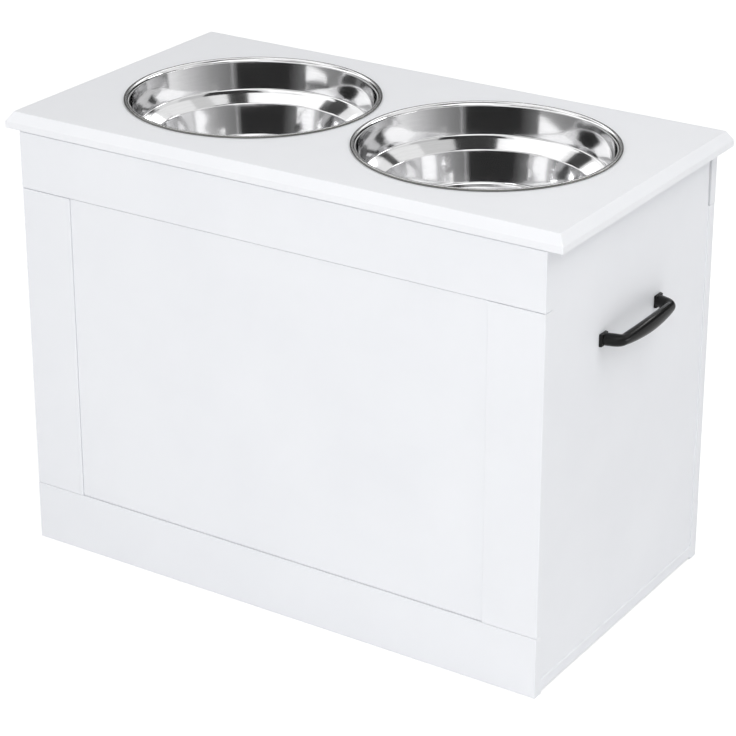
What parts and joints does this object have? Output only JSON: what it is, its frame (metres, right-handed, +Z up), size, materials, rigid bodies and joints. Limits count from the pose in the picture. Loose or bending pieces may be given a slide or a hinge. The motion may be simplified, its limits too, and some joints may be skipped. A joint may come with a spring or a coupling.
{
  "type": "elevated dog feeder with storage",
  "caption": "Raised pet feeder: a framed-panel storage box with side handles and a hinged lid that carries stepped steel bowls.",
  "frame": {"origin": "on the floor, under the middle of the whole object's box", "axes": "+Z up, -Y towards the front panel, +X towards the right-hand side seen from the front"},
  "size_m": [0.6188, 0.331, 0.449],
  "materials": {
    "board_paint": "satin white paint",
    "bowl_steel": "brushed and polished stainless steel",
    "handle_black": "semi-gloss black",
    "hinge_steel": "zinc plated",
    "screw_steel": "zinc plated",
    "dowel_wood": "plain beech"
  },
  "bodies": {
    "cabinet": {"front_top_rail": "board_paint", "front_bottom_rail": "board_paint", "front_left_stile": "board_paint", "front_right_stile": "board_paint", "front_panel": "board_paint", "back_top_rail": "board_paint", "back_bottom_rail": "board_paint", "back_left_stile": "board_paint", "back_right_stile": "board_paint", "back_panel": "board_paint", "left_side_panel": "board_paint", "right_side_panel": "board_paint", "bottom_board": "board_paint", "corner_dowels": "dowel_wood", "base_dowels": "dowel_wood", "base_screws": "screw_steel", "left_handle": "handle_black", "right_handle": "handle_black", "handle_screws": "screw_steel", "left_hinge_cabinet_leaf": "hinge_steel", "right_hinge_cabinet_leaf": "hinge_steel", "left_hinge_pin": "hinge_steel", "right_hinge_pin": "hinge_steel", "hinge_cabinet_screws": "screw_steel"},
    "lid": {"lid_board": "board_paint", "left_hinge_lid_leaf": "hinge_steel", "right_hinge_lid_leaf": "hinge_steel", "hinge_lid_screws": "screw_steel"},
    "left_bowl": {"left_bowl": "bowl_steel"},
    "right_bowl": {"right_bowl": "bowl_steel"}
  },
  "joints": [
    {"name": "lid_hinge", "type": "hinge", "parent": "cabinet", "child": "lid", "pos_m": [0, 0.16265, 0.4277], "axis": [-1, 0, 0], "range_deg": [0, 100]},
    {"name": "left_bowl_lift", "type": "slide", "parent": "lid", "child": "left_bowl", "axis": [0, 0, 1], "range_m": [0, 0.12]},
    {"name": "right_bowl_lift", "type": "slide", "parent": "lid", "child": "right_bowl", "axis": [0, 0, 1], "range_m": [0, 0.12]}
  ]
}
